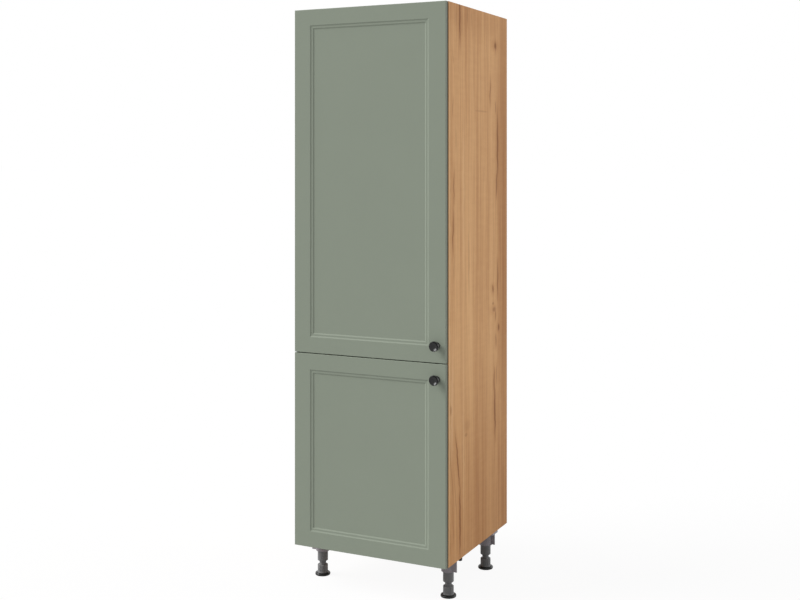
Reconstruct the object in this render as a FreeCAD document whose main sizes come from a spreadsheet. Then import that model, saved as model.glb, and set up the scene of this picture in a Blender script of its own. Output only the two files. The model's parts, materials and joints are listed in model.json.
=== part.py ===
import FreeCAD, Part
import os
import Sketcher

V = FreeCAD.Vector

# Tall kitchen cabinet: oak decor carcass on four adjustable feet, two framed doors on cup hinges.
# Frame: +Z up, doors face -Y, origin on the floor under the middle of the bounding box.

# Driving dimensions in millimetres, one cell each
DRIVING = {
    "cabinet_width": 600,
    "carcass_height": 1932,
    "carcass_depth": 556,
    "panel_thickness": 16,
    "edge_band": 1,
    "foot_height": 139,
    "back_thickness": 3,
    "back_inset": 12,
    "groove_depth": 8,
    "groove_play": 0.3,
    "strip_flange": 1.2,
    "strip_height": 16,
    "shelf_setback": 25,
    "shelf_side_play": 1,
    "shelf_back_play": 2,
    "shelf_pin_radius": 2.5,
    "shelf_pin_reach": 9,
    "shelf_pin_depth": 10,
    "shelf_pin_front": 37,
    "shelf_pin_rear": 65,
    "fit_play": 0.1,
    "bracket_spacing": 400,
    "bracket_width": 32,
    "bracket_leg": 40,
    "bracket_gauge": 2,
    "bracket_hole": 3.5,
    "bracket_drop": 25,
    "door_gap": 2,
    "door_thickness": 19,
    "door_reveal": 2,
    "door_end_reveal": 0.5,
    "door_split_height": 697,
    "door_split_gap": 3,
    "door_edge_round": 1.5,
    "stile_width": 64,
    "rail_width": 57,
    "bevel_width": 4.5,
    "bevel_depth": 2.2,
    "ledge_width": 6,
    "second_bevel_width": 4.5,
    "second_bevel_depth": 2.2,
    "knob_projection": 28,
    "knob_head_radius": 18,
    "knob_neck_radius": 7,
    "knob_foot_radius": 12,
    "knob_foot_height": 3,
    "knob_neck_height": 13,
    "knob_rim_low": 22,
    "knob_rim_top": 27,
    "knob_lip_radius": 16.2,
    "knob_dish_radius": 8,
    "knob_dish_depth": 3.2,
    "knob_edge": 33,
    "knob_end_upper": 59.5,
    "knob_end_lower": 52.5,
    "bumper_radius": 5,
    "bumper_play": 0.3,
    "bumper_end": 40,
    "foot_side_front": 47,
    "foot_side_rear": 37.5,
    "foot_front": 105,
    "foot_rear": 126,
    "pad_radius": 28,
    "pad_thickness": 9,
    "pad_edge": 3,
    "pivot_radius": 5,
    "pivot_height": 8,
    "column_radius": 18.7,
    "column_top": 37,
    "column_gap": 14,
    "spindle_radius": 12.5,
    "spindle_engagement": 47,
    "flute_depth": 1.2,
    "flute_width": 5,
    "flute_foot": 5,
    "tube_radius": 19,
    "tube_cap": 6,
    "collar_wall": 6,
    "collar_height": 49,
    "socket_plate": 8,
    "socket_outward": 37,
    "socket_inward": 25,
    "socket_front": 27,
    "socket_back": 38,
    "socket_corner": 8,
    "gusset_gauge": 4,
    "wing_drop": 47,
    "wing_forward": 12,
    "rib_drop": 16,
    "running_play": 0.3,
    "hinge_end": 100,
    "cup_edge": 20.5,
    "cup_radius": 17.4,
    "cup_depth": 12.8,
    "cup_floor": 1.2,
    "cup_mouth_near": 18,
    "cup_mouth_far": 16,
    "cup_flange_half": 27,
    "cup_flange_near": 2,
    "cup_flange_far": 13,
    "cup_flange_gauge": 1.2,
    "pin_radius": 1.2,
    "pin_play": 0.05,
    "eye_radius": 2.2,
    "link_half": 1,
    "outer_arm_x": 20.4,
    "outer_arm_y": 3.8,
    "outer_cup_offset": 10.9,
    "outer_cup_sink": 3.7,
    "inner_arm_x": 14.8,
    "inner_arm_y": 8.5,
    "inner_cup_offset": 11.4,
    "inner_cup_sink": 8.9,
    "loose_eye_radius": 3.9,
    "loose_hole_radius": 2.7,
    "loose_shift_x": 0.8,
    "loose_shift_y": 0.7,
    "inner_link_half": 2.5,
    "cheek_gauge": 1.5,
    "link_gauge": 1.4,
    "layer_gap": 0.3,
    "nose_radius": 2.5,
    "arm_half": 9,
    "arm_gauge": 1.5,
    "arm_top": 16.5,
    "arm_lift": 4,
    "arm_start": 28,
    "arm_end": 76,
    "plate_gauge": 2.5,
    "plate_play": 0.3,
    "plate_line": 37,
    "plate_wing_half": 23,
    "plate_wing_width": 14,
}

UPPER_SHELVES = 3
LOWER_SHELVES = 1
FLUTES = 8

doc = FreeCAD.newDocument("TallCabinet")
sheet = doc.addObject("Spreadsheet::Sheet", "Sizes")
for row, (alias, value) in enumerate(DRIVING.items(), start=1):
    sheet.set(f"A{row}", alias)
    sheet.set(f"B{row}", str(value))
    sheet.setAlias(f"B{row}", alias)
doc.recompute()

nodes = []

# Places that several pieces share, as expressions of the sheet
HALF_WIDTH = "Sizes.cabinet_width / 2"
INNER_HALF = "(Sizes.cabinet_width / 2 - Sizes.panel_thickness)"
CARCASS_BACK = ("((Sizes.knob_projection + Sizes.door_thickness + Sizes.door_gap"
                " + Sizes.carcass_depth) / 2)")
CARCASS_FRONT = f"({CARCASS_BACK} - Sizes.carcass_depth)"
DOOR_BACK = f"({CARCASS_FRONT} - Sizes.door_gap)"
DOOR_FRONT = f"({DOOR_BACK} - Sizes.door_thickness)"
DOOR_WIDTH = "(Sizes.cabinet_width - 2 * Sizes.door_reveal)"
DOOR_LEFT = f"(-{DOOR_WIDTH} / 2)"
BACK_FACE = "(Sizes.carcass_depth - Sizes.back_inset - Sizes.back_thickness)"
FLOOR_TOP = "Sizes.panel_thickness"
MIDDLE_LOW = "(Sizes.door_split_height - Sizes.panel_thickness / 2)"
MIDDLE_TOP = "(Sizes.door_split_height + Sizes.panel_thickness / 2)"
CEILING = "(Sizes.carcass_height - Sizes.panel_thickness)"
LOWER_DOOR_LOW = "Sizes.door_end_reveal"
LOWER_DOOR_TOP = "(Sizes.door_split_height - Sizes.door_split_gap / 2)"
UPPER_DOOR_LOW = "(Sizes.door_split_height + Sizes.door_split_gap / 2)"
UPPER_DOOR_TOP = "(Sizes.carcass_height - Sizes.door_end_reveal)"


def shelf_levels(low, high, count):
    """Undersides of evenly spaced shelves between two heights above the carcass base."""
    clear = f"(({high} - {low} - {count} * Sizes.panel_thickness) / {count + 1})"
    return [f"({low} + {i + 1} * {clear} + {i} * Sizes.panel_thickness)" for i in range(count)]


UPPER_LEVELS = shelf_levels(MIDDLE_TOP, CEILING, UPPER_SHELVES)
LOWER_LEVELS = shelf_levels(FLOOR_TOP, MIDDLE_LOW, LOWER_SHELVES)
SHELF_LEVELS = LOWER_LEVELS + UPPER_LEVELS

# The long door's middle hinge sits halfway between two shelves
UPPER_FLOORS = [MIDDLE_TOP] + [f"({level} + Sizes.panel_thickness)" for level in UPPER_LEVELS]
MIDDLE_BAY = UPPER_SHELVES // 2
MIDDLE_HINGE = f"(({UPPER_FLOORS[MIDDLE_BAY]} + {UPPER_LEVELS[MIDDLE_BAY]}) / 2)"
UPPER_HINGES = [f"({UPPER_DOOR_LOW} + Sizes.hinge_end)", MIDDLE_HINGE,
                f"({UPPER_DOOR_TOP} - Sizes.hinge_end)"]
LOWER_HINGES = [f"({LOWER_DOOR_LOW} + Sizes.hinge_end)", f"({LOWER_DOOR_TOP} - Sizes.hinge_end)"]


# Helpers


def number(text):
    """Present value of an expression."""
    value = sheet.evalExpression(text)
    return float(getattr(value, "Value", value))


def place(obj, x="0", y="0", z="0"):
    """Bind an object's position to three expressions."""
    for axis, text in zip("xyz", (x, y, z)):
        obj.setExpression(f"Placement.Base.{axis}", text)


def keep(obj, label):
    """Name an object as a sub-part that is written to a file."""
    obj.Label = label
    nodes.append(obj)
    return obj


def new_body(name):
    return doc.addObject("PartDesign::Body", name)


def sketch_on(body, role, offset="0"):
    """Sketch on one of the body's own origin planes, moved along the plane's normal."""
    plane = next(feature for feature in body.Origin.OriginFeatures if feature.Role == role)
    sketch = body.newObject("Sketcher::SketchObject", f"{body.Name}_sketch")
    sketch.AttachmentSupport = [(plane, "")]
    sketch.MapMode = "FlatFace"
    sketch.setExpression("AttachmentOffset.Base.z", offset)
    return sketch


def bind(sketch, constraint, text):
    index = sketch.addConstraint(constraint)
    sketch.setExpression(f"Constraints[{index}]", text)


def bind_point(sketch, geometry, point, x, y):
    bind(sketch, Sketcher.Constraint("DistanceX", -1, 1, geometry, point, number(x)), x)
    bind(sketch, Sketcher.Constraint("DistanceY", -1, 1, geometry, point, number(y)), y)


def add_outline(sketch, corners):
    """Closed outline of straight sides through the corners."""
    points = [V(number(x), number(y), 0) for x, y in corners]
    first = sketch.GeometryCount
    for i, start in enumerate(points):
        sketch.addGeometry(Part.LineSegment(start, points[(i + 1) % len(points)]), False)
    for i, (x, y) in enumerate(corners):
        after = (i + 1) % len(corners)
        sketch.addConstraint(Sketcher.Constraint("Coincident", first + i, 2, first + after, 1))
        bind_point(sketch, first + i, 1, x, y)


def add_rectangle(sketch, left, low, right, high):
    add_outline(sketch, [(left, low), (right, low), (right, high), (left, high)])


def add_circle(sketch, x, y, radius):
    index = sketch.addGeometry(
        Part.Circle(V(number(x), number(y), 0), V(0, 0, 1), number(radius)), False)
    bind_point(sketch, index, 3, x, y)
    bind(sketch, Sketcher.Constraint("Radius", index, number(radius)), radius)


def add_eye(sketch, x, y, radius):
    """Eight-sided outline about a pivot, its flats at the given radius."""
    short = f"({radius} * tan(22.5))"
    turns = [(radius, short), (short, radius), (f"-{short}", radius), (f"-{radius}", short),
             (f"-{radius}", f"-{short}"), (f"-{short}", f"-{radius}"), (short, f"-{radius}"),
             (radius, f"-{short}")]
    add_outline(sketch, [(f"{x} + {across}", f"{y} + {along}") for across, along in turns])


def add_slot_bar(sketch, start, end, inner, outer):
    """Straight bar between two points, from one offset to the other across its line."""
    (ax, ay), (bx, by) = start, end
    length = f"sqrt(({bx} - {ax})^2 + ({by} - {ay})^2)"
    across = (f"(({ay} - {by}) / {length})", f"(({bx} - {ax}) / {length})")
    corners = []
    for (x, y), offset in ((start, inner), (end, inner), (end, outer), (start, outer)):
        corners.append((f"{x} + {offset} * {across[0]}", f"{y} + {offset} * {across[1]}"))
    add_outline(sketch, corners)


def pad(body, sketch, length, reverse=False, middle=False):
    feature = body.newObject("PartDesign::Pad", f"{body.Name}_pad")
    feature.Profile = sketch
    feature.Reversed = reverse
    feature.Midplane = middle
    feature.setExpression("Length", length)
    doc.recompute()
    return feature


def pocket(body, sketch, length, reverse=False, middle=False, taper=None):
    """Cut a sketch into the body, and stop if it removed nothing."""
    before = body.Shape.Volume
    feature = body.newObject("PartDesign::Pocket", f"{body.Name}_pocket")
    feature.Profile = sketch
    feature.Reversed = reverse
    feature.Midplane = middle
    feature.setExpression("Length", length)
    if taper:
        feature.setExpression("TaperAngle", taper)
    doc.recompute()
    if body.Shape.Volume >= before:
        raise RuntimeError(f"{feature.Name} cuts nothing")
    return feature


def revolve(body, sketch):
    feature = body.newObject("PartDesign::Revolution", f"{body.Name}_turn")
    feature.Profile = sketch
    feature.ReferenceAxis = (sketch, ["V_Axis"])
    feature.Angle = 360
    doc.recompute()
    return feature


def box(name, corner, size):
    """Block bound to a corner and three lengths."""
    block = doc.addObject("Part::Box", name)
    for side, text in zip(("Length", "Width", "Height"), size):
        block.setExpression(side, text)
    place(block, *corner)
    return block


def copies(label, pattern, places, rotation=FreeCAD.Rotation()):
    """Sub-part made of several separate copies of one pattern piece."""
    links = []
    for i, where in enumerate(places):
        turn, spot = (where[0], where[1:]) if len(where) == 4 else (rotation, where)
        link = doc.addObject("App::Link", f"{label}_{i + 1}")
        link.LinkedObject = pattern
        link.Placement = FreeCAD.Placement(V(), turn)
        place(link, *spot)
        links.append(link)
    group = doc.addObject("Part::Compound", label)
    group.Links = links
    return keep(group, label)


def lifted(z):
    """Height above the carcass base as a height above the floor."""
    return f"Sizes.foot_height + {z}"


# Carcass: side panels with the back groove and the drilling for the shelf pegs

PIN_DEPTHS = ["Sizes.shelf_pin_front", f"({BACK_FACE} - Sizes.shelf_pin_rear)"]


def peg_height(level):
    """Middle of the pegs that carry a shelf whose underside is at this level."""
    return f"{level} - Sizes.shelf_pin_radius"


def side_panel(label, x, inner, into_positive):
    """One side; inner is the offset of its inner face, drilled along X."""
    body = new_body(label)
    outline = sketch_on(body, "YZ_Plane")
    add_rectangle(outline, "Sizes.edge_band", "0", "Sizes.carcass_depth", "Sizes.carcass_height")
    pad(body, outline, "Sizes.panel_thickness")
    groove = sketch_on(body, "YZ_Plane", inner)
    add_rectangle(groove, f"{BACK_FACE} - Sizes.groove_play", "0",
                  f"{BACK_FACE} + Sizes.back_thickness + Sizes.groove_play", "Sizes.carcass_height")
    pocket(body, groove, "Sizes.groove_depth", reverse=into_positive)
    holes = sketch_on(body, "YZ_Plane", inner)
    for y in PIN_DEPTHS:
        for level in SHELF_LEVELS:
            add_circle(holes, y, f"{peg_height(level)} + Sizes.fit_play",
                       "Sizes.shelf_pin_radius + Sizes.fit_play")
    pocket(body, holes, "Sizes.shelf_pin_depth", reverse=into_positive)
    place(body, x, CARCASS_FRONT, "Sizes.foot_height")
    return keep(body, label)


side_panel("side_panel_left", f"-{HALF_WIDTH}", "Sizes.panel_thickness", False)
side_panel("side_panel_right", INNER_HALF, "0", True)


# Carcass: panels between the sides


def cross_panel(label, z, depth, groove_above=None):
    body = new_body(label)
    outline = sketch_on(body, "XY_Plane")
    add_rectangle(outline, f"-{INNER_HALF}", "Sizes.edge_band", INNER_HALF, depth)
    pad(body, outline, "Sizes.panel_thickness")
    if groove_above is not None:
        groove = sketch_on(body, "XY_Plane", "Sizes.panel_thickness" if groove_above else "0")
        add_rectangle(groove, f"-{INNER_HALF}", f"{BACK_FACE} - Sizes.groove_play",
                      INNER_HALF, f"{BACK_FACE} + Sizes.back_thickness + Sizes.groove_play")
        pocket(body, groove, "Sizes.groove_depth", reverse=not groove_above)
    place(body, "0", CARCASS_FRONT, z)
    return keep(body, label)


STRIP_FRONT = f"({BACK_FACE} - Sizes.strip_flange - Sizes.groove_play)"
cross_panel("bottom_panel", "Sizes.foot_height", "Sizes.carcass_depth", groove_above=True)
cross_panel("middle_shelf", lifted(MIDDLE_LOW), f"{STRIP_FRONT} - Sizes.running_play")
cross_panel("top_panel", lifted(CEILING), "Sizes.carcass_depth", groove_above=False)


# Back: two thin sheets in the grooves, joined behind the fixed shelf by a plastic strip

BACK_HALF = f"({INNER_HALF} + Sizes.groove_depth - Sizes.groove_play)"
STRIP_WEB_HALF = "Sizes.strip_flange / 2"
BRACKET_Z = f"({CEILING} - Sizes.bracket_drop)"


def back_sheet(label, low, high, drilled):
    body = new_body(label)
    outline = sketch_on(body, "XZ_Plane")
    add_rectangle(outline, f"-{BACK_HALF}", low, BACK_HALF, high)
    pad(body, outline, "Sizes.back_thickness", reverse=True)
    if drilled:
        holes = sketch_on(body, "XZ_Plane")
        for side in ("-", ""):
            add_circle(holes, f"{side}Sizes.bracket_spacing / 2", BRACKET_Z, "Sizes.bracket_hole")
        pocket(body, holes, "Sizes.back_thickness")
    place(body, "0", f"{CARCASS_FRONT} + {BACK_FACE}", "Sizes.foot_height")
    return keep(body, label)


back_sheet("back_sheet_lower", f"{FLOOR_TOP} - Sizes.groove_depth",
           f"Sizes.door_split_height - {STRIP_WEB_HALF}", False)
back_sheet("back_sheet_upper", f"Sizes.door_split_height + {STRIP_WEB_HALF}",
           f"{CEILING} + Sizes.groove_depth - Sizes.groove_play", True)

strip = new_body("back_joint_strip")
strip_profile = sketch_on(strip, "YZ_Plane", f"-{INNER_HALF} + Sizes.shelf_side_play")
strip_depth = "(Sizes.back_thickness + 2 * (Sizes.strip_flange + Sizes.groove_play))"
strip_half = "Sizes.strip_height / 2"
add_outline(strip_profile, [
    ("0", f"-{strip_half}"), ("Sizes.strip_flange", f"-{strip_half}"),
    ("Sizes.strip_flange", f"-{STRIP_WEB_HALF}"),
    (f"{strip_depth} - Sizes.strip_flange", f"-{STRIP_WEB_HALF}"),
    (f"{strip_depth} - Sizes.strip_flange", f"-{strip_half}"), (strip_depth, f"-{strip_half}"),
    (strip_depth, strip_half), (f"{strip_depth} - Sizes.strip_flange", strip_half),
    (f"{strip_depth} - Sizes.strip_flange", STRIP_WEB_HALF), ("Sizes.strip_flange", STRIP_WEB_HALF),
    ("Sizes.strip_flange", strip_half), ("0", strip_half),
])
pad(strip, strip_profile, f"2 * ({INNER_HALF} - Sizes.shelf_side_play)")
place(strip, "0", f"{CARCASS_FRONT} + {STRIP_FRONT}", lifted("Sizes.door_split_height"))
keep(strip, "back_joint_strip")


# Adjustable shelves, their pegs and the edge bands on every front edge

SHELF_HALF = f"({INNER_HALF} - Sizes.shelf_side_play)"
SHELF_DEPTH = f"({BACK_FACE} - Sizes.shelf_back_play - Sizes.shelf_setback - Sizes.edge_band)"
shelf_names = [f"shelf_lower_{i + 1}" for i in range(LOWER_SHELVES)]
shelf_names += [f"shelf_upper_{i + 1}" for i in range(UPPER_SHELVES)]
for label, level in zip(shelf_names, SHELF_LEVELS):
    corner = (f"-{SHELF_HALF}", f"{CARCASS_FRONT} + Sizes.shelf_setback + Sizes.edge_band", lifted(level))
    keep(box(label, corner, (f"2 * {SHELF_HALF}", SHELF_DEPTH, "Sizes.panel_thickness")), label)

ALONG_X = FreeCAD.Rotation(V(0, 1, 0), 90)
AGAINST_X = FreeCAD.Rotation(V(0, 1, 0), -90)
peg = doc.addObject("Part::Cylinder", "shelf_peg_pattern")
peg.setExpression("Radius", "Sizes.shelf_pin_radius")
peg.setExpression("Height", "Sizes.shelf_pin_depth + Sizes.shelf_pin_reach - Sizes.fit_play")
PEG_START = f"({INNER_HALF} + Sizes.shelf_pin_depth - Sizes.fit_play)"
copies("shelf_pegs", peg, [
    (turn, f"{sign}{PEG_START}", f"{CARCASS_FRONT} + {y}", lifted(peg_height(level)))
    for level in SHELF_LEVELS for y in PIN_DEPTHS
    for turn, sign in ((ALONG_X, "-"), (AGAINST_X, ""))
])

bands = []
for name, x in (("left", f"-{HALF_WIDTH}"), ("right", INNER_HALF)):
    bands.append(box(f"band_{name}", (x, CARCASS_FRONT, "Sizes.foot_height"),
                     ("Sizes.panel_thickness", "Sizes.edge_band", "Sizes.carcass_height")))
for name, z in (("bottom", "0"), ("middle", MIDDLE_LOW), ("top", CEILING)):
    bands.append(box(f"band_{name}", (f"-{INNER_HALF}", CARCASS_FRONT, lifted(z)),
                     (f"2 * {INNER_HALF}", "Sizes.edge_band", "Sizes.panel_thickness")))
for name, z in zip(shelf_names, SHELF_LEVELS):
    bands.append(box(f"band_{name}", (f"-{SHELF_HALF}", f"{CARCASS_FRONT} + Sizes.shelf_setback", lifted(z)),
                     (f"2 * {SHELF_HALF}", "Sizes.edge_band", "Sizes.panel_thickness")))
edge_bands = doc.addObject("Part::Compound", "edge_bands")
edge_bands.Links = bands
keep(edge_bands, "edge_bands")


# Wall brackets under the top panel

bracket = new_body("wall_bracket_pattern")
bracket_profile = sketch_on(bracket, "YZ_Plane")
add_outline(bracket_profile, [
    ("0", "0"), ("-Sizes.bracket_leg", "0"), ("-Sizes.bracket_leg", "-Sizes.bracket_gauge"),
    ("-Sizes.bracket_gauge", "-Sizes.bracket_gauge"), ("-Sizes.bracket_gauge", "-Sizes.bracket_leg"),
    ("0", "-Sizes.bracket_leg"),
])
pad(bracket, bracket_profile, "Sizes.bracket_width", middle=True)
bracket_hole = sketch_on(bracket, "XZ_Plane")
add_circle(bracket_hole, "0", "-Sizes.bracket_drop", "Sizes.bracket_hole")
pocket(bracket, bracket_hole, "2 * Sizes.bracket_gauge", middle=True)
BRACKET_SPOTS = [f"{side}Sizes.bracket_spacing / 2" for side in ("-", "")]
copies("wall_brackets", bracket,
       [(x, f"{CARCASS_FRONT} + {BACK_FACE}", lifted(CEILING)) for x in BRACKET_SPOTS])


# Adjustable feet: a socket under the carcass, a tube in it, a screw that turns and a pad


def foot_socket(label, x, y, outward, forward):
    """Moulded socket; outward is the sign of X towards the near side, forward shifts its wing to the front."""
    body = new_body(label)
    plate = sketch_on(body, "XY_Plane")
    out, inn = f"{outward} * Sizes.socket_outward", f"-{outward} * Sizes.socket_inward"
    cut_out = f"({out} - {outward} * Sizes.socket_corner)"
    cut_in = f"({inn} + {outward} * Sizes.socket_corner)"
    add_outline(plate, [
        (cut_in, "-Sizes.socket_front"), (cut_out, "-Sizes.socket_front"),
        (out, "-Sizes.socket_front + Sizes.socket_corner"), (out, "Sizes.socket_back - Sizes.socket_corner"),
        (cut_out, "Sizes.socket_back"), (cut_in, "Sizes.socket_back"),
        (inn, "Sizes.socket_back - Sizes.socket_corner"), (inn, "-Sizes.socket_front + Sizes.socket_corner"),
    ])
    pad(body, plate, "Sizes.socket_plate", reverse=True)
    collar = sketch_on(body, "XY_Plane")
    add_circle(collar, "0", "0", "Sizes.tube_radius + Sizes.fit_play + Sizes.collar_wall")
    pad(body, collar, "Sizes.collar_height", reverse=True)
    gusset_foot = "-Sizes.collar_height + Sizes.gusset_gauge"
    for role, shift, reach, drop in (
            ("YZ_Plane", "0", "Sizes.socket_back - Sizes.gusset_gauge", "Sizes.rib_drop"),
            ("XZ_Plane", forward, out, "Sizes.wing_drop")):
        gusset = sketch_on(body, role, shift)
        add_outline(gusset, [("0", "-Sizes.socket_plate / 2"), (reach, "-Sizes.socket_plate / 2"),
                             (reach, f"-{drop}"), ("0", gusset_foot)])
        pad(body, gusset, "Sizes.gusset_gauge", middle=True)
    bore = sketch_on(body, "XY_Plane", "-Sizes.collar_height")
    add_circle(bore, "0", "0", "Sizes.tube_radius + Sizes.fit_play")
    pocket(body, bore, "Sizes.collar_height - Sizes.socket_plate", reverse=True)
    place(body, x, y, "Sizes.foot_height")
    return keep(body, label)


TUBE_LOW = "(Sizes.column_top + Sizes.column_gap)"
TUBE_TOP = "(Sizes.foot_height - Sizes.socket_plate)"
SCREW_LOW = "(Sizes.pad_thickness + Sizes.running_play)"


def turned_piece(label, x, y, corners):
    body = new_body(label)
    profile = sketch_on(body, "XZ_Plane")
    add_outline(profile, corners)
    revolve(body, profile)
    place(body, x, y)
    return keep(body, label)


def foot_screw(label, x, y):
    """Grip column with a plain spindle above it and a socket for the pad's pivot below."""
    hole = "Sizes.pivot_radius + Sizes.pin_play"
    hole_top = "Sizes.pad_thickness + Sizes.pivot_height + Sizes.running_play"
    spindle_top = f"{TUBE_LOW} + Sizes.spindle_engagement"
    body = turned_piece(label, x, y, [
        (hole, SCREW_LOW), ("Sizes.column_radius", SCREW_LOW), ("Sizes.column_radius", "Sizes.column_top"),
        ("Sizes.spindle_radius", "Sizes.column_top"), ("Sizes.spindle_radius", spindle_top),
        ("0", spindle_top), ("0", hole_top), (hole, hole_top),
    ])
    flute = sketch_on(body, "XY_Plane", "Sizes.column_top")
    add_rectangle(flute, "Sizes.column_radius - Sizes.flute_depth", "-Sizes.flute_width / 2",
                  "Sizes.column_radius + 3 * Sizes.flute_depth", "Sizes.flute_width / 2")
    cut = pocket(body, flute, f"Sizes.column_top - {SCREW_LOW} - Sizes.flute_foot")
    ring = body.newObject("PartDesign::PolarPattern", f"{label}_flutes")
    ring.Originals = [cut]
    ring.Axis = (flute, ["N_Axis"])
    ring.Angle = 360
    ring.Occurrences = FLUTES
    body.Tip = ring
    doc.recompute()
    return body


FOOT_SPOTS = {
    "front_left": ("-1", "Sizes.foot_side_front", f"{CARCASS_FRONT} + Sizes.foot_front", "Sizes.wing_forward"),
    "front_right": ("1", "Sizes.foot_side_front", f"{CARCASS_FRONT} + Sizes.foot_front", "Sizes.wing_forward"),
    "rear_left": ("-1", "Sizes.foot_side_rear", f"{CARCASS_BACK} - Sizes.foot_rear", "0"),
    "rear_right": ("1", "Sizes.foot_side_rear", f"{CARCASS_BACK} - Sizes.foot_rear", "0"),
}
for name, (side, inset, y, forward) in FOOT_SPOTS.items():
    x = f"{side} * ({HALF_WIDTH} - {inset})"
    foot_socket(f"foot_socket_{name}", x, y, side, forward)
    bore = "Sizes.spindle_radius + Sizes.running_play"
    turned_piece(f"foot_tube_{name}", x, y, [
        (bore, TUBE_LOW), ("Sizes.tube_radius", TUBE_LOW), ("Sizes.tube_radius", TUBE_TOP),
        ("0", TUBE_TOP), ("0", f"{TUBE_TOP} - Sizes.tube_cap"), (bore, f"{TUBE_TOP} - Sizes.tube_cap"),
    ])
    foot_screw(f"foot_screw_{name}", x, y)
    pivot_top = "Sizes.pad_thickness + Sizes.pivot_height"
    turned_piece(f"foot_pad_{name}", x, y, [
        ("0", "0"), ("Sizes.pad_radius", "0"), ("Sizes.pad_radius", "Sizes.pad_thickness - Sizes.pad_edge"),
        ("Sizes.pad_radius - Sizes.pad_edge", "Sizes.pad_thickness"),
        ("Sizes.pivot_radius", "Sizes.pad_thickness"), ("Sizes.pivot_radius", pivot_top), ("0", pivot_top),
    ])


# Doors: a slab with a stepped, mitred frame recess, bored for the hinge cups

CUP_HOLE_DEPTH = "Sizes.cup_depth + Sizes.fit_play"


def door(label, low, high, hinges):
    body = new_body(label)
    height = f"({high} - {low})"
    slab = sketch_on(body, "XZ_Plane")
    add_rectangle(slab, "0", "0", DOOR_WIDTH, height)
    base = pad(body, slab, "Sizes.door_thickness")
    front = [f"Edge{i + 1}" for i, edge in enumerate(base.Shape.Edges)
             if abs(edge.BoundBox.YMax + number("Sizes.door_thickness")) < 0.001]
    soft = body.newObject("PartDesign::Fillet", f"{label}_edges")
    soft.Base = (base, front)
    soft.setExpression("Radius", "Sizes.door_edge_round")
    doc.recompute()
    step = "(Sizes.bevel_width + Sizes.ledge_width)"
    recesses = [
        ("0", "0", "Sizes.bevel_depth", "Sizes.bevel_width"),
        (step, "Sizes.bevel_depth", "Sizes.second_bevel_depth", "Sizes.second_bevel_width"),
    ]
    for inset, sunk, depth, width in recesses:
        recess = sketch_on(body, "XZ_Plane", f"Sizes.door_thickness - {sunk}")
        add_rectangle(recess, f"Sizes.stile_width + {inset}", f"Sizes.rail_width + {inset}",
                      f"{DOOR_WIDTH} - Sizes.stile_width - {inset}", f"{height} - Sizes.rail_width - {inset}")
        pocket(body, recess, depth, taper=f"-atan({width} / {depth})")
    cups = sketch_on(body, "XZ_Plane")
    for z in hinges:
        add_circle(cups, "Sizes.cup_edge", f"{z} - {low}", "Sizes.cup_radius + Sizes.fit_play")
    pocket(body, cups, CUP_HOLE_DEPTH, reverse=True)
    place(body, DOOR_LEFT, DOOR_BACK, lifted(low))
    return keep(body, label)


DOORS = {
    "upper": (UPPER_DOOR_LOW, UPPER_DOOR_TOP, UPPER_HINGES, f"({UPPER_DOOR_LOW} + Sizes.knob_end_upper)"),
    "lower": (LOWER_DOOR_LOW, LOWER_DOOR_TOP, LOWER_HINGES, f"({LOWER_DOOR_TOP} - Sizes.knob_end_lower)"),
}


def knob(label, z):
    """Turned knob with a round foot and a dished head on the door's front."""
    body = new_body(label)
    profile = sketch_on(body, "XY_Plane")
    dish = "-(Sizes.knob_projection - Sizes.knob_dish_depth)"
    turning = [
        ("0", "0"), ("Sizes.knob_foot_radius", "0"), ("Sizes.knob_foot_radius", "-Sizes.knob_foot_height"),
        ("Sizes.knob_neck_radius", "-Sizes.knob_foot_height"),
        ("Sizes.knob_neck_radius", "-Sizes.knob_neck_height"),
        ("Sizes.knob_head_radius", "-Sizes.knob_rim_low"), ("Sizes.knob_head_radius", "-Sizes.knob_rim_top"),
        ("Sizes.knob_lip_radius", "-Sizes.knob_projection"), ("Sizes.knob_dish_radius", dish), ("0", dish),
    ]
    add_outline(profile, turning)
    revolve(body, profile)
    place(body, f"-{DOOR_LEFT} - Sizes.knob_edge", DOOR_FRONT, lifted(z))
    return keep(body, label)


bumper = doc.addObject("Part::Cylinder", "bumper_pattern")
bumper.setExpression("Radius", "Sizes.bumper_radius")
bumper.setExpression("Height", "Sizes.door_gap - Sizes.bumper_play")
TO_BACK = FreeCAD.Rotation(V(1, 0, 0), -90)

for name, (low, high, hinges, knob_z) in DOORS.items():
    door(f"door_{name}", low, high, hinges)
    knob(f"knob_{name}", knob_z)
    copies(f"door_bumpers_{name}", bumper, [
        (f"{HALF_WIDTH} - Sizes.panel_thickness / 2", DOOR_BACK, lifted(z))
        for z in (f"{low} + Sizes.bumper_end", f"{high} - Sizes.bumper_end")], TO_BACK)


# Cup hinges, drawn about the inner front edge of the left side: X into the cabinet, Y to the back

DOOR_EDGE_X = "(Sizes.door_reveal - Sizes.panel_thickness)"
CUP_X = f"({DOOR_EDGE_X} + Sizes.cup_edge)"
OUTER_ARM = ("Sizes.outer_arm_x", "Sizes.outer_arm_y")
INNER_ARM = ("Sizes.inner_arm_x", "(-Sizes.inner_arm_y)")
OUTER_CUP = (f"({CUP_X} - Sizes.outer_cup_offset)", "(-Sizes.door_gap - Sizes.outer_cup_sink)")
INNER_CUP = (f"({CUP_X} - Sizes.inner_cup_offset)", "(-Sizes.door_gap - Sizes.inner_cup_sink)")
PIN_HOLE = "Sizes.pin_radius + Sizes.pin_play"

# Layers outward from the hinge's middle plane: inner link, arm cheeks, outer link, cup cheeks
CHEEK_IN = "(Sizes.inner_link_half + Sizes.layer_gap)"
CHEEK_OUT = f"({CHEEK_IN} + Sizes.cheek_gauge)"
LINK_IN = f"({CHEEK_OUT} + Sizes.layer_gap)"
LINK_OUT = f"({LINK_IN} + Sizes.link_gauge)"
MOUTH_HALF = f"({LINK_OUT} + Sizes.layer_gap)"


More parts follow.
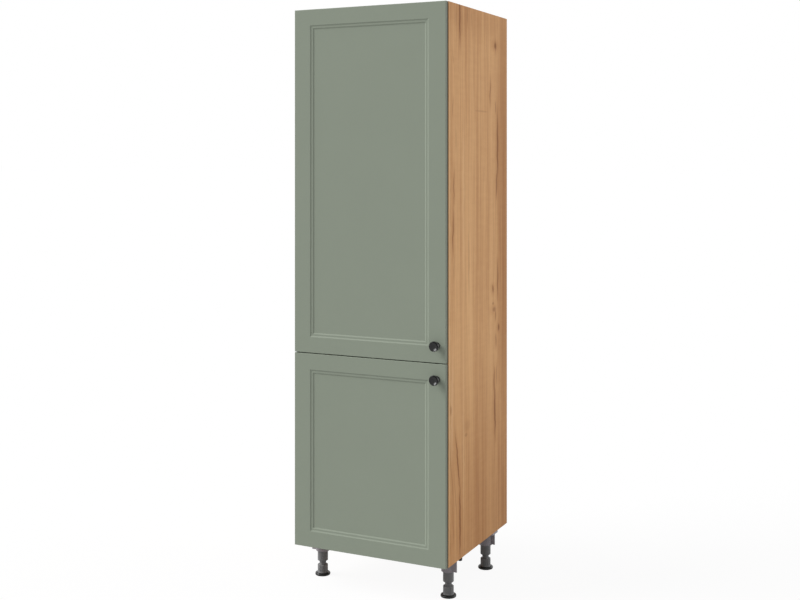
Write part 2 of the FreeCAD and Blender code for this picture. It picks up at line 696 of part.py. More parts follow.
def hinge_cup():
    """Cast cup with a slot for the links, the pins they turn on and a flange on the door's back."""
    body = new_body("hinge_cup_pattern")
    barrel = sketch_on(body, "XZ_Plane", "Sizes.door_gap")
    add_circle(barrel, CUP_X, "0", "Sizes.cup_radius")
    pad(body, barrel, "Sizes.cup_depth")
    flange = sketch_on(body, "XZ_Plane", "Sizes.door_gap")
    add_rectangle(flange, f"{CUP_X} - Sizes.cup_flange_near", "-Sizes.cup_flange_half",
                  f"{CUP_X} + Sizes.cup_flange_far", "Sizes.cup_flange_half")
    pad(body, flange, "Sizes.cup_flange_gauge", reverse=True)
    mouth = sketch_on(body, "XZ_Plane", "Sizes.door_gap - Sizes.cup_flange_gauge")
    add_rectangle(mouth, f"{CUP_X} - Sizes.cup_mouth_near", f"-{MOUTH_HALF}",
                  f"{CUP_X} + Sizes.cup_mouth_far", MOUTH_HALF)
    pocket(body, mouth, "Sizes.cup_flange_gauge + Sizes.cup_depth - Sizes.cup_floor", reverse=True)
    across = sketch_on(body, "XY_Plane")
    add_circle(across, *INNER_CUP, "Sizes.pin_radius")
    pad(body, across, f"2 * ({MOUTH_HALF} + Sizes.layer_gap)", middle=True)
    for side, below in (("", False), ("-", True)):
        stub = sketch_on(body, "XY_Plane", f"{side}{LINK_IN}")
        add_circle(stub, *OUTER_CUP, "Sizes.pin_radius")
        pad(body, stub, f"{MOUTH_HALF} + Sizes.layer_gap - {LINK_IN}", reverse=below)
    return body


def hinge_arm():
    """Forked nose with two riveted pins, on a channel that straddles the mounting plate."""
    body = new_body("hinge_arm_pattern")
    width = f"2 * {CHEEK_OUT}"
    neck = sketch_on(body, "XY_Plane")
    add_outline(neck, [
        (f"{OUTER_ARM[0]} - Sizes.nose_radius", OUTER_ARM[1]),
        (f"{OUTER_ARM[0]} + Sizes.nose_radius", OUTER_ARM[1]),
        (f"{OUTER_ARM[0]} + Sizes.nose_radius", "Sizes.arm_start / 2"),
        ("Sizes.arm_top", "Sizes.arm_start + Sizes.arm_gauge"),
        ("Sizes.arm_lift", "Sizes.arm_start + Sizes.arm_gauge"), ("Sizes.arm_lift", "Sizes.arm_start"),
    ])
    pad(body, neck, width, middle=True)
    nose = sketch_on(body, "XY_Plane")
    add_slot_bar(nose, OUTER_ARM, INNER_ARM, "-Sizes.nose_radius", "Sizes.nose_radius")
    pad(body, nose, width, middle=True)
    for x, y in (OUTER_ARM, INNER_ARM):
        knuckle = sketch_on(body, "XY_Plane")
        add_eye(knuckle, x, y, "Sizes.nose_radius")
        pad(body, knuckle, width, middle=True)
    channel = sketch_on(body, "XZ_Plane", "-Sizes.arm_start")
    inside = "(Sizes.arm_half - Sizes.arm_gauge)"
    roof = "Sizes.arm_top - Sizes.arm_gauge"
    add_outline(channel, [
        ("Sizes.arm_lift", "-Sizes.arm_half"), ("Sizes.arm_top", "-Sizes.arm_half"),
        ("Sizes.arm_top", "Sizes.arm_half"), ("Sizes.arm_lift", "Sizes.arm_half"),
        ("Sizes.arm_lift", inside), (roof, inside), (roof, f"-{inside}"), ("Sizes.arm_lift", f"-{inside}"),
    ])
    pad(body, channel, "Sizes.arm_end - Sizes.arm_start", reverse=True)
    fork = sketch_on(body, "XY_Plane")
    reach = "(Sizes.nose_radius + Sizes.loose_eye_radius)"
    add_outline(fork, [
        (f"{INNER_ARM[0]} - {reach}", f"{INNER_ARM[1]} - {reach}"),
        (f"{INNER_ARM[0]} + {reach}", f"{INNER_ARM[1]} - {reach}"),
        (f"{INNER_ARM[0]} + {reach}", f"{OUTER_ARM[1]} - Sizes.nose_radius - Sizes.arm_gauge"),
        (f"{INNER_ARM[0]} - {reach}", f"{OUTER_ARM[1]} - Sizes.nose_radius - Sizes.arm_gauge"),
    ])
    pocket(body, fork, f"2 * {CHEEK_IN}", middle=True)
    for (x, y), half in ((OUTER_ARM, LINK_OUT), (INNER_ARM, CHEEK_OUT)):
        rivet = sketch_on(body, "XY_Plane")
        add_circle(rivet, x, y, "Sizes.pin_radius")
        pad(body, rivet, f"2 * {half}", middle=True)
    return body


def flat_link(body, start, end, start_eye, start_hole, width):
    """Bar between two eyes; the end on the cup's pin is always the close one."""
    bar = sketch_on(body, "XY_Plane")
    add_slot_bar(bar, start, end, "-Sizes.link_half", "Sizes.link_half")
    pad(body, bar, width, middle=True)
    for (x, y), radius, hole in ((start, start_eye, start_hole), (end, "Sizes.eye_radius", PIN_HOLE)):
        eye = sketch_on(body, "XY_Plane")
        add_eye(eye, x, y, radius)
        pad(body, eye, width, middle=True)
    holes = sketch_on(body, "XY_Plane")
    add_circle(holes, *start, start_hole)
    add_circle(holes, *end, PIN_HOLE)
    pocket(body, holes, width, middle=True)


def outer_link():
    """Pair of flat links, one outside each cheek of the arm."""
    body = new_body("outer_link_pattern")
    flat_link(body, OUTER_ARM, OUTER_CUP, "Sizes.eye_radius", PIN_HOLE, f"2 * {LINK_OUT}")
    between = sketch_on(body, "XY_Plane")
    reach = "2 * Sizes.eye_radius"
    add_rectangle(between, f"{OUTER_CUP[0]} - {reach}", f"{OUTER_CUP[1]} - {reach}",
                  f"{OUTER_ARM[0]} + {reach}", f"{OUTER_ARM[1]} + {reach}")
    pocket(body, between, f"2 * {LINK_IN}", middle=True)
    return body


def inner_link():
    """Single bar: a close eye on the cup's pin and a wide one round the arm's pin."""
    body = new_body("inner_link_pattern")
    loose = (f"({INNER_ARM[0]} + Sizes.loose_shift_x)", f"({INNER_ARM[1]} + Sizes.loose_shift_y)")
    flat_link(body, loose, INNER_CUP, "Sizes.loose_eye_radius", "Sizes.loose_hole_radius",
              "2 * Sizes.inner_link_half")
    return body


def mounting_plate():
    """Cross plate screwed to the side, with a raised bar that the arm's channel fits over."""
    body = new_body("mounting_plate_pattern")
    half_bar = "(Sizes.arm_half - Sizes.arm_gauge - Sizes.plate_play)"
    wings = sketch_on(body, "YZ_Plane")
    half_wing = "Sizes.plate_wing_width / 2"
    add_rectangle(wings, f"Sizes.plate_line - {half_wing}", "-Sizes.plate_wing_half",
                  f"Sizes.plate_line + {half_wing}", "Sizes.plate_wing_half")
    pad(body, wings, "Sizes.plate_gauge")
    bar = sketch_on(body, "YZ_Plane")
    add_rectangle(bar, "Sizes.arm_start + Sizes.arm_gauge + Sizes.plate_play", f"-{half_bar}",
                  "Sizes.arm_end - Sizes.plate_play", half_bar)
    pad(body, bar, "Sizes.arm_top - Sizes.arm_gauge")
    return body


HINGE_X = f"(-{INNER_HALF})"
cup_pattern = hinge_cup()
arm_pattern = hinge_arm()
outer_pattern = outer_link()
inner_pattern = inner_link()
plate_pattern = mounting_plate()


def hinge_places(hinges):
    return [(HINGE_X, CARCASS_FRONT, lifted(height)) for height in hinges]


for name, (low, high, hinges, knob_z) in DOORS.items():
    copies(f"hinge_plates_{name}", plate_pattern, hinge_places(hinges))
    copies(f"hinge_arms_{name}", arm_pattern, hinge_places(hinges))
    copies(f"hinge_cups_{name}", cup_pattern, hinge_places(hinges))
    copies(f"outer_links_{name}", outer_pattern, hinge_places(hinges))
    copies(f"inner_links_{name}", inner_pattern, hinge_places(hinges))

# Check every object, then write one file for each sub-part
doc.recompute()
for obj in doc.Objects:
    if "Invalid" in obj.State or "Error" in obj.State:
        raise RuntimeError(f"{obj.Label} failed: {obj.State}")
os.makedirs("parts", exist_ok=True)
for node in nodes:
    if node.Shape.isNull() or not node.Shape.isValid():
        raise RuntimeError(f"{node.Label} has no valid shape")
for node in nodes:
    node.Shape.exportStep(f"parts/{node.Label}.step")
print(len(nodes), "sub-parts written")
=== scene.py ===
import json
import math

import bmesh
import bpy
from mathutils import Matrix, Vector


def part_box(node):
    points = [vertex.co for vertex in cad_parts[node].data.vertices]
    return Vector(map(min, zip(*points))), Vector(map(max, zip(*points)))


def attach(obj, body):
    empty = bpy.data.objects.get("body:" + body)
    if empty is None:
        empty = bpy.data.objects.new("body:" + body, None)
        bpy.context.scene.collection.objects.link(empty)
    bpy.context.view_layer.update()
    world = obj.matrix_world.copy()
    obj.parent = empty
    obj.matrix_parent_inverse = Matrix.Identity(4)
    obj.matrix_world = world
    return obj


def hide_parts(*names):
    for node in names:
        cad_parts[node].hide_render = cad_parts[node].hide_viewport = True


# Looks of a tall kitchen cabinet: sage framed doors on an oak decor carcass, black knobs, plastic feet.

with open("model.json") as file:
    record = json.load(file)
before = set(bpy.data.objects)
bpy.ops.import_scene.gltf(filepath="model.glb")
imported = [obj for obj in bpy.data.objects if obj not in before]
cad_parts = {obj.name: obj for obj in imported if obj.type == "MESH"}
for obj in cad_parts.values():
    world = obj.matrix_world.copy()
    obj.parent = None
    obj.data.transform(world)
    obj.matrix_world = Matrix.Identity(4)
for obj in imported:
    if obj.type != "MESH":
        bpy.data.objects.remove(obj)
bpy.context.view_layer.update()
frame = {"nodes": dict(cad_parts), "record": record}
MM = 0.001
DOORS = ("upper", "lower")
HANDS = ("left", "right")
FEET = ("front_left", "front_right", "rear_left", "rear_right")
CARCASS_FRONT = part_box("edge_bands")[0].y
SIDE_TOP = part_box("side_panel_right")[1].z
INNER_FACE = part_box("side_panel_right")[0].x
SAME_PLACE = 0.001 * MM


def middle_of(box):
    """Middle of a box given by its two corners."""
    low, high = box
    return (low + high) / 2


# Shader building

# A mix node numbers its sockets by kind: values, colours, and the colour that it gives
MIX_VALUES, MIX_COLOURS, MIX_COLOUR_OUT = (2, 3), (6, 7), 2
NOISE_MIDDLE = 0.5


def put(tree, kind, inputs=None, **settings):
    """Add a node, then set or link its inputs by name or number."""
    made = tree.nodes.new(kind)
    for name, value in settings.items():
        setattr(made, name, value)
    for name, value in (inputs or {}).items():
        feed(tree, made.inputs[name], value)
    return made


def feed(tree, socket, value):
    """Link a socket to another one, or set it to a plain value."""
    if isinstance(value, bpy.types.NodeSocket):
        tree.links.new(value, socket)
    else:
        socket.default_value = value


def calc(tree, operation, *values):
    """Result of one sum."""
    made = tree.nodes.new("ShaderNodeMath")
    made.operation = operation
    for socket, value in zip(made.inputs, values):
        feed(tree, socket, value)
    return made.outputs[0]


def spread(tree, value, low, high, to_low=0.0, to_high=1.0):
    """Stretch a value from one span to another, held at both ends."""
    made = put(tree, "ShaderNodeMapRange", {0: value, 1: low, 2: high, 3: to_low, 4: to_high})
    made.interpolation_type = "SMOOTHSTEP"
    return made.outputs[0]


def choose(tree, share, first, second):
    """Mix two values."""
    made = put(tree, "ShaderNodeMix", dict(zip((0, *MIX_VALUES), (share, first, second))))
    return made.outputs[0]


def tint(tree, share, first, second, mode="MIX"):
    """Mix two colours."""
    made = put(tree, "ShaderNodeMix", data_type="RGBA", blend_type=mode)
    for index, value in zip((0, *MIX_COLOURS), (share, first, second)):
        feed(tree, made.inputs[index], value)
    return made.outputs[MIX_COLOUR_OUT]


def speckle(tree, vector, scale, detail=2.0, roughness=0.5):
    """Value of a noise field."""
    return put(tree, "ShaderNodeTexNoise",
               {"Vector": vector, "Scale": scale, "Detail": detail, "Roughness": roughness}).outputs[0]


def swing(tree, field, reach):
    """Noise as a swing to both sides of zero."""
    return calc(tree, "MULTIPLY", calc(tree, "SUBTRACT", field, NOISE_MIDDLE), reach)


def object_place(tree):
    """Place on the object, in metres."""
    return put(tree, "ShaderNodeTexCoord").outputs["Object"]


def apart(tree, vector):
    """X, Y and Z of a vector."""
    return put(tree, "ShaderNodeSeparateXYZ", {0: vector}).outputs


def new_group(name, inputs, outputs):
    """Empty shader group; inputs are (name, socket type, start value)."""
    tree = bpy.data.node_groups.new(name, "ShaderNodeTree")
    for label, kind, start in inputs:
        tree.interface.new_socket(label, in_out="INPUT", socket_type=kind).default_value = start
    for label, kind in outputs:
        tree.interface.new_socket(label, in_out="OUTPUT", socket_type=kind)
    given = tree.nodes.new("NodeGroupInput").outputs
    result = tree.nodes.new("NodeGroupOutput").inputs
    return tree, given, result


FLOAT, COLOUR, NORMAL = "NodeSocketFloat", "NodeSocketColor", "NodeSocketVector"
SURFACE_RELIEF = 0.4 * MM


def surface_group():
    """Fine unevenness of a coated or moulded face: a mottled colour and a shallow bump."""
    tree, given, result = new_group(
        "surface_unevenness",
        [("Colour", COLOUR, (0.5, 0.5, 0.5, 1)), ("Mottle", FLOAT, 0.1), ("Mottle scale", FLOAT, 8.0),
         ("Grain scale", FLOAT, 900.0), ("Grain height", FLOAT, 0.1), ("Roughness", FLOAT, 0.5),
         ("Roughness swing", FLOAT, 0.08)],
        [("Colour", COLOUR), ("Roughness", FLOAT), ("Normal", NORMAL)])
    spot = object_place(tree)
    cloud = speckle(tree, spot, given["Mottle scale"], detail=4.0, roughness=0.6)
    level = calc(tree, "ADD", 1.0, swing(tree, cloud, given["Mottle"]))
    grey = put(tree, "ShaderNodeCombineColor", {0: level, 1: level, 2: level}).outputs[0]
    tree.links.new(tint(tree, 1.0, given["Colour"], grey, "MULTIPLY"), result["Colour"])
    fine = speckle(tree, spot, given["Grain scale"])
    rough = calc(tree, "ADD", given["Roughness"], swing(tree, fine, given["Roughness swing"]))
    tree.links.new(rough, result["Roughness"])
    bump = put(tree, "ShaderNodeBump",
               {"Strength": given["Grain height"], "Distance": SURFACE_RELIEF, "Height": fine})
    tree.links.new(bump.outputs[0], result["Normal"])
    return tree


# Oak figure: how far its fibres bend, the pace of its rings in radians a metre, and how its layers show
OAK_BEND = 12 * MM
RING_PACE, FLAME_REACH, RING_WEIGHT = 260.0, 40.0, 0.018
BOARD_WEIGHT, BAND_WEIGHT, RIPPLE_WEIGHT, STREAK_WEIGHT, HAIR_WEIGHT = 0.36, 0.2, 0.06, 0.3, 0.2
TONE_SPAN = (0.36, 0.76)
PORE_SPAN, PORE_SHADE = (0.58, 0.72), 0.16
HAIR_SPAN, HAIR_RELIEF = (0.3, 0.7), 0.5
OAK_ROUGHNESS = (0.46, 0.6)


def oak_group():
    """Oak figure from places across, along and into the grain, in metres."""
    tree, given, result = new_group(
        "oak_figure",
        [("Across", FLOAT, 0.0), ("Along", FLOAT, 0.0), ("Depth", FLOAT, 0.0),
         ("Light", COLOUR, (0.6, 0.37, 0.19, 1)), ("Dark", COLOUR, (0.33, 0.17, 0.075, 1))],
        [("Colour", COLOUR), ("Height", FLOAT), ("Roughness", FLOAT)])
    across, along, depth = given["Across"], given["Along"], given["Depth"]

    def fibre(side, across_scale, along_scale, seed, detail=2.0):
        """Noise drawn out along the grain; the seed picks another stretch of it."""
        place = put(tree, "ShaderNodeCombineXYZ", {
            0: calc(tree, "MULTIPLY", side, across_scale),
            1: calc(tree, "MULTIPLY", along, along_scale),
            2: calc(tree, "MULTIPLY_ADD", depth, across_scale, seed)}).outputs[0]
        return speckle(tree, place, 1.0, detail, roughness=0.6)

    bend = swing(tree, fibre(across, across_scale=7.0, along_scale=1.6, seed=3.0), OAK_BEND)
    bent = calc(tree, "ADD", across, bend)
    flame = fibre(bent, across_scale=14.0, along_scale=0.9, seed=17.0, detail=4.0)
    ring_place = calc(tree, "MULTIPLY_ADD", bent, RING_PACE, calc(tree, "MULTIPLY", flame, FLAME_REACH))
    ring = calc(tree, "SINE", ring_place)
    board = fibre(bent, across_scale=11.0, along_scale=0.25, seed=11.0)
    band = fibre(bent, across_scale=42.0, along_scale=0.8, seed=37.0, detail=3.0)
    ripple = fibre(across, across_scale=16.0, along_scale=55.0, seed=53.0)
    streak = fibre(bent, across_scale=120.0, along_scale=1.1, seed=23.0, detail=4.0)
    hair = fibre(bent, across_scale=620.0, along_scale=7.0, seed=31.0)
    pore_field = fibre(bent, across_scale=900.0, along_scale=22.0, seed=43.0, detail=1.0)
    pore = spread(tree, pore_field, *PORE_SPAN)
    tone = calc(tree, "MULTIPLY", ring, RING_WEIGHT)
    for layer, weight in ((board, BOARD_WEIGHT), (band, BAND_WEIGHT), (ripple, RIPPLE_WEIGHT),
                          (streak, STREAK_WEIGHT), (hair, HAIR_WEIGHT)):
        tone = calc(tree, "MULTIPLY_ADD", layer, weight, tone)
    bare = tint(tree, spread(tree, tone, *TONE_SPAN), given["Dark"], given["Light"])
    shade = calc(tree, "MULTIPLY", pore, PORE_SHADE)
    tree.links.new(tint(tree, shade, bare, given["Dark"]), result["Colour"])
    height = calc(tree, "SUBTRACT", calc(tree, "MULTIPLY", hair, HAIR_RELIEF), pore)
    tree.links.new(height, result["Height"])
    tree.links.new(spread(tree, hair, *HAIR_SPAN, *OAK_ROUGHNESS), result["Roughness"])
    return tree


# A mark wanders across the grain over so many half widths, each counted as no more than the widest
WANDER_SCALE, WANDER_REACH, WANDER_WIDEST = 18.0, 3.0, 6 * MM
MARK_RIM, MARK_CORE = 1.0, 0.25


def mark_group():
    """One knot, crack or dark streak in the oak: a soft-edged, leaning ellipse."""
    tree, given, result = new_group(
        "grain_mark",
        [("Across", FLOAT, 0.0), ("Along", FLOAT, 0.0), ("Middle across", FLOAT, 0.0),
         ("Middle along", FLOAT, 0.0), ("Half width", FLOAT, 0.003), ("Half length", FLOAT, 0.05),
         ("Lean", FLOAT, 0.0)],
        [("Mask", FLOAT)])
    rise = calc(tree, "SUBTRACT", given["Along"], given["Middle along"])
    middle = calc(tree, "MULTIPLY_ADD", given["Lean"], rise, given["Middle across"])
    path = put(tree, "ShaderNodeCombineXYZ", {0: given["Middle across"], 1: given["Along"]}).outputs[0]
    reach = calc(tree, "MULTIPLY", calc(tree, "MINIMUM", given["Half width"], WANDER_WIDEST), WANDER_REACH)
    wander = swing(tree, speckle(tree, path, WANDER_SCALE), reach)
    side = calc(tree, "ADD", calc(tree, "SUBTRACT", given["Across"], middle), wander)
    sideways = calc(tree, "POWER", calc(tree, "DIVIDE", side, given["Half width"]), 2.0)
    lengthways = calc(tree, "POWER", calc(tree, "DIVIDE", rise, given["Half length"]), 2.0)
    distance = calc(tree, "SQRT", calc(tree, "ADD", sideways, lengthways))
    tree.links.new(spread(tree, distance, MARK_RIM, MARK_CORE), result["Mask"])
    return tree


SURFACE, OAK, MARK = surface_group(), oak_group(), mark_group()


def new_finish(name):
    """Material with its principled shader."""
    material = bpy.data.materials.new(name)
    material.use_nodes = True
    return material, material.node_tree, material.node_tree.nodes["Principled BSDF"]


def dress(tree, shader, colour, roughness, normal):
    """Link what changes over the surface to the material's shader."""
    tree.links.new(colour, shader.inputs["Base Color"])
    tree.links.new(roughness, shader.inputs["Roughness"])
    tree.links.new(normal, shader.inputs["Normal"])


def coated(name, colour, roughness, mottle=0.1, mottle_scale=8.0, grain_scale=900.0, grain_height=0.1,
           roughness_swing=0.08, **sockets):
    """Material on the shared uneven surface.

    The colour is plain, or a function that builds it; sockets sets further plain values of the shader.
    """
    material, tree, shader = new_finish(name)
    skin = put(tree, "ShaderNodeGroup", {
        "Colour": colour(tree) if callable(colour) else (*colour, 1),
        "Mottle": mottle, "Mottle scale": mottle_scale,
        "Grain scale": grain_scale, "Grain height": grain_height,
        "Roughness": roughness, "Roughness swing": roughness_swing}, node_tree=SURFACE).outputs
    dress(tree, shader, skin["Colour"], skin["Roughness"], skin["Normal"])
    for label, value in sockets.items():
        shader.inputs[label.replace("_", " ")].default_value = value
    return material


# Knots and streaks of the side in view, listed one by one: mm behind the front, mm below the top, half
# width, half length, lean to the back per length upwards, and strength
DARK_MARKS = [
    (98, 40, 10, 140, 0.0, 1.0), (438, 114, 16, 19, 0.0, 0.95), (438, 114, 6, 36, 0.0, 0.6),
    (384, 290, 6, 72, 0.0, 0.65), (437, 345, 8, 34, 0.0, 0.5), (457, 490, 11, 185, 0.0, 0.95),
    (449, 630, 8, 75, 0.02, 0.85), (44, 640, 6, 90, 0.0, 0.65), (38, 790, 7, 110, 0.02, 0.75),
    (45, 920, 4, 60, 0.0, 0.5), (459, 990, 7, 100, 0.0, 0.85), (410, 1020, 9, 20, 0.0, 0.8),
    (424, 1098, 24, 13, 0.0, 0.55), (440, 1120, 6, 28, 0.1, 0.6), (468, 1170, 13, 19, 0.0, 0.9),
    (440, 1215, 7, 36, 0.0, 0.6), (447, 1345, 5, 55, 0.0, 0.55), (424, 1370, 8, 80, 0.0, 0.7),
    (430, 1480, 11, 140, -0.03, 0.9), (155, 1510, 18, 10, 0.0, 0.4), (78, 1590, 8, 140, -0.2, 0.9),
    (98, 1800, 10, 185, 0.0, 1.0), (178, 900, 8, 170, 0.0, 0.25), (22, 1400, 12, 24, 0.0, 0.4),
    (38, 190, 4, 40, 0.0, 0.4), (36, 360, 5, 50, 0.03, 0.45), (62, 470, 5, 60, -0.05, 0.35),
    (60, 50, 4, 55, 0.0, 0.45), (118, 60, 4, 60, 0.0, 0.4), (165, 30, 6, 50, 0.0, 0.4),
    (205, 40, 5, 60, 0.0, 0.35), (14, 1560, 3, 80, -0.1, 0.45), (30, 1650, 3, 110, -0.15, 0.5),
    (58, 1700, 3, 120, -0.12, 0.5), (38, 1800, 3, 110, -0.08, 0.55), (72, 1850, 3, 80, -0.05, 0.5),
    (18, 1860, 3, 70, -0.05, 0.45), (300, 364, 90, 5, 0.0, 0.25), (410, 1075, 14, 7, 0.0, 0.45),
    (160, 1480, 40, 30, 0.0, 0.2),
]
PALE_MARKS = [
    (6, 966, 10, 1400, 0.0, 0.5), (30, 1400, 14, 260, 0.02, 0.4), (130, 700, 10, 500, 0.0, 0.3),
    (130, 1500, 8, 520, 0.0, 0.35),
]
# Broad darkening of the side in view, multiplied over its figure: painted shade towards the bottom, and a
# darker strip along the rear and one below the top
BROAD_DARKENING_AND_PAINTED_SHADE = [
    (278, 2050, 1200, 950, 0.0, 0.85), (520, 700, 110, 1500, 0.0, 0.8), (278, 0, 900, 140, 0.0, 0.45),
]
# The browner wood round a strong mark is wider and a little longer, by a share and some mm, and fainter
STRONG_MARK = 0.5
SURROUND_WIDER, SURROUND_LONGER, SURROUND_FAINTER = 3, 1.15, 0.6
SURROUND_SIDE, SURROUND_END = 8, 15
# Tone multiplied in by the broad darkening, painted shade towards the bottom included
SHADE_TONE = (0.76, 0.68, 0.61, 1)
MARK_TONE = (0.25, 0.108, 0.04, 1)
PALE_TONE = (0.78, 0.52, 0.29, 1)
OAK_LIGHT = (0.75, 0.45, 0.218, 1)
OAK_DARK = (0.47, 0.23, 0.096, 1)
OAK_BUMP, OAK_RELIEF, OAK_SPECULAR = 0.12, 0.3 * MM, 0.06
LEFT_SIDE_SHIFT, EDGE_SHIFT = 1.7, 0.31


def surround(behind, below, half_width, half_length, lean, strength):
    """Place of the browner wood round one mark."""
    return (behind, below, SURROUND_WIDER * half_width + SURROUND_SIDE,
            SURROUND_LONGER * half_length + SURROUND_END, lean, SURROUND_FAINTER * strength)


SURROUNDS = [surround(*mark) for mark in DARK_MARKS if mark[-1] > STRONG_MARK]


def mark_cover(tree, across, along, places):
    """Mask of all marks of one list, each at its own strength."""
    cover = 0.0
    for behind, below, half_width, half_length, lean, strength in places:
        mark = put(tree, "ShaderNodeGroup", {
            "Across": across, "Along": along,
            "Middle across": CARCASS_FRONT + behind * MM, "Middle along": SIDE_TOP - below * MM,
            "Half width": half_width * MM, "Half length": half_length * MM,
            "Lean": lean}, node_tree=MARK)
        cover = calc(tree, "MAXIMUM", cover, calc(tree, "MULTIPLY", mark.outputs["Mask"], strength))
    return cover


def oak(name, lengthwise, shift=0.0, marks=()):
    """Oak decor with its grain along Z, along X, or along each band.

    The shift, in metres across the grain, gives another board's figure; marks are (tone, places, mode).
    """
    material, tree, shader = new_finish(name)
    spot = apart(tree, object_place(tree))
    across, along, depth = spot["Y"], spot["Z"], spot["X"]
    if lengthwise == "X":
        along, depth = spot["X"], spot["Z"]
    elif lengthwise == "bands":
        upright = calc(tree, "GREATER_THAN", calc(tree, "ABSOLUTE", spot["X"]), INNER_FACE)
        along = choose(tree, upright, spot["X"], spot["Z"])
        across = choose(tree, upright, spot["Z"], spot["X"])
        depth = spot["Y"]
    figure = put(tree, "ShaderNodeGroup", {
        "Across": calc(tree, "ADD", across, shift), "Along": along, "Depth": depth,
        "Light": OAK_LIGHT, "Dark": OAK_DARK}, node_tree=OAK).outputs
    colour = figure["Colour"]
    for tone, places, mode in marks:
        colour = tint(tree, mark_cover(tree, across, along, places), colour, tone, mode)
    bump = put(tree, "ShaderNodeBump",
               {"Strength": OAK_BUMP, "Distance": OAK_RELIEF, "Height": figure["Height"]})
    dress(tree, shader, colour, figure["Roughness"], bump.outputs[0])
    shader.inputs["Specular IOR Level"].default_value = OAK_SPECULAR
    return material


# Hardboard of the back, whose rear is told by how far its face turns to +Y
PRINT_WHITE = (0.74, 0.73, 0.7, 1)
FIBRE_DARK, FIBRE_LIGHT = (0.2, 0.115, 0.06, 1), (0.36, 0.23, 0.13, 1)
FIBRE_SCALE = 420.0
REAR_FACING = (0.2, 0.6)


def hardboard_colour(tree):
    """White print inside, bare brown fibre on the wall side."""
    facing = apart(tree, put(tree, "ShaderNodeTexCoord").outputs["Normal"])
    rear = spread(tree, facing["Y"], *REAR_FACING)
    fibre = speckle(tree, object_place(tree), FIBRE_SCALE, detail=6.0, roughness=0.7)
    return tint(tree, rear, PRINT_WHITE, tint(tree, fibre, FIBRE_DARK, FIBRE_LIGHT))


# Paint of the doors, with the strips in which it turns to the narrow sides and in which its painted shade of
# the gap to the carcass stays darkest
SAGE, SAGE_PAINTED_SHADE = (0.262, 0.296, 0.238, 1), (0.085, 0.09, 0.07, 1)
TURN_OUTER, TURN_INNER = 0.6 * MM, 1.2 * MM
PAINTED_SHADE_STRIP = 4 * MM


def sage_with_painted_shade(tree):
    """Sage, with painted shade growing darker to the rear of the doors' narrow sides, towards the gap to the
    carcass, as in the photograph.
    """
    place = apart(tree, object_place(tree))
    low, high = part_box("door_upper")
    narrow = spread(tree, calc(tree, "ABSOLUTE", place["X"]), high.x - TURN_INNER, high.x - TURN_OUTER)
    painted_shade_rearward = spread(tree, place["Y"], low.y, high.y - PAINTED_SHADE_STRIP)
    # painted shade: the rear of each narrow side turns to the darker sage, where the gap to the carcass lies
    return tint(tree, calc(tree, "MULTIPLY", narrow, painted_shade_rearward), SAGE, SAGE_PAINTED_SHADE)


FINISHES = {
    "oak_board": oak("oak_level", "X"),
    "oak_edge": oak("oak_edge", "bands", EDGE_SHIFT),
    "back_board": coated("hardboard", hardboard_colour, roughness=0.6, mottle=0.12,
                         grain_scale=700.0, grain_height=0.2),
    "white_plastic": coated("white_plastic", (0.78, 0.78, 0.76), roughness=0.45),
    "zinc_steel": coated("zinc_steel", (0.6, 0.6, 0.61), roughness=0.34, mottle=0.25, mottle_scale=60.0,
                         grain_scale=1500.0, grain_height=0.15, Metallic=1.0),
    "nickel_steel": coated("nickel_steel", (0.64, 0.62, 0.59), roughness=0.26, mottle=0.12,
                           mottle_scale=40.0, grain_scale=2500.0, grain_height=0.08, Metallic=1.0),
    "socket_plastic": coated("socket_plastic", (0.25, 0.228, 0.247), roughness=0.5, mottle=0.2,
                             mottle_scale=30.0, grain_scale=1800.0, grain_height=0.3),
    "tube_plastic": coated("tube_plastic", (0.18, 0.18, 0.182), roughness=0.42, mottle=0.25,
                           mottle_scale=30.0, grain_scale=1800.0, grain_height=0.25,
                           Specular_IOR_Level=0.12),
    "pad_plastic": coated("pad_plastic", (0.01, 0.01, 0.01), roughness=0.26, mottle=0.2,
                          mottle_scale=30.0, grain_scale=1800.0, grain_height=0.15,
                          Specular_IOR_Level=0.25),
    "door_paint": coated("door_paint", sage_with_painted_shade, roughness=0.46, mottle=0.05, mottle_scale=5.0,
                         grain_scale=1100.0, roughness_swing=0.06, Specular_IOR_Level=0.1),
    "knob_black": coated("knob_black", (0.003, 0.003, 0.003), roughness=0.34, mottle=0.2,
                         mottle_scale=40.0, grain_scale=1600.0, grain_height=0.03,
                         Specular_IOR_Level=0.2, Coat_Weight=0.45, Coat_Roughness=0.1),
    "bumper_clear": coated("bumper_clear", (0.6, 0.61, 0.6), roughness=0.25, mottle_scale=60.0,
                           grain_height=0.05, Transmission_Weight=0.6),
}
SIDE_FINISHES = {
    "side_panel_right": oak("oak_side_right", "Z", marks=[
        # painted shade towards the bottom of the side, with the darker strips along the rear and below the
        # top
        (SHADE_TONE, BROAD_DARKENING_AND_PAINTED_SHADE, "MULTIPLY"), (OAK_DARK, SURROUNDS, "MIX"),
        (PALE_TONE, PALE_MARKS, "MIX"), (MARK_TONE, DARK_MARKS, "MIX")]),
    "side_panel_left": oak("oak_side_left", "Z", LEFT_SIDE_SHIFT),
}


# Pieces

SHARP_EDGE, KNOB_SHARP_EDGE = 35.0, 60.0
CURVE_STEPS = 6
TO_FRONT = Matrix.Rotation(math.pi / 2, 4, "X")
TO_FLOOR = Matrix.Rotation(math.pi, 4, "X")


def wear(piece, slot):
    """Give a piece the finish of one of the record's slots."""
    piece.data.materials.append(FINISHES[slot])


